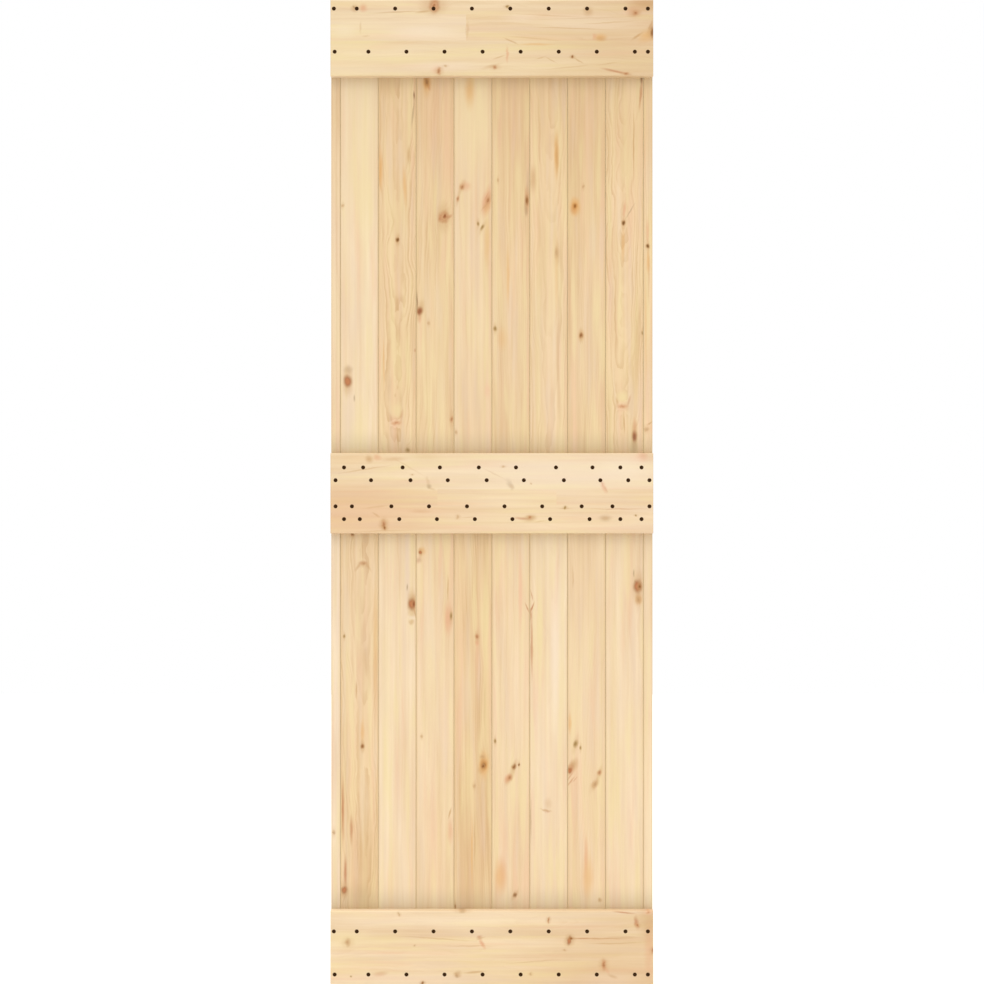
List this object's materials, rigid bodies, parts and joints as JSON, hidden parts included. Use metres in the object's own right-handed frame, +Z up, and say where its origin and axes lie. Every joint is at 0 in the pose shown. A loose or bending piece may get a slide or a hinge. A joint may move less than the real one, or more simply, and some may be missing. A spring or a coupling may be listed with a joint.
{
  "type": "sliding door leaf",
  "caption": "Ledged sliding door leaf of upright tongued and grooved pine boards, clamped and screwed between horizontal battens, to hang from strap hangers on a wall rail.",
  "frame": {"origin": "centre of the front top batten's outer face, where the strap hangers bolt on", "axes": "+Z up along the boards, -Y out of the front face that the picture shows, +X to the right seen from the front"},
  "size_m": [0.7, 0.05, 2.14],
  "materials": {
    "board_pine": "planed, unfinished",
    "batten_pine": "planed, unfinished"
  },
  "bodies": {
    "root": {"upper_board_1": "board_pine", "upper_board_2": "board_pine", "upper_board_3": "board_pine", "upper_board_4": "board_pine", "upper_board_5": "board_pine", "upper_board_6": "board_pine", "upper_board_7": "board_pine", "upper_board_8": "board_pine", "lower_board_1": "board_pine", "lower_board_2": "board_pine", "lower_board_3": "board_pine", "lower_board_4": "board_pine", "lower_board_5": "board_pine", "lower_board_6": "board_pine", "lower_board_7": "board_pine", "lower_board_8": "board_pine", "upper_left_edge_strip": "board_pine", "upper_right_edge_strip": "board_pine", "lower_left_edge_strip": "board_pine", "lower_right_edge_strip": "board_pine", "front_top_batten": "batten_pine", "front_middle_batten": "batten_pine", "front_bottom_batten": "batten_pine", "back_top_batten": "batten_pine", "back_middle_batten": "batten_pine", "back_bottom_batten": "batten_pine"}
  },
  "joints": []
}
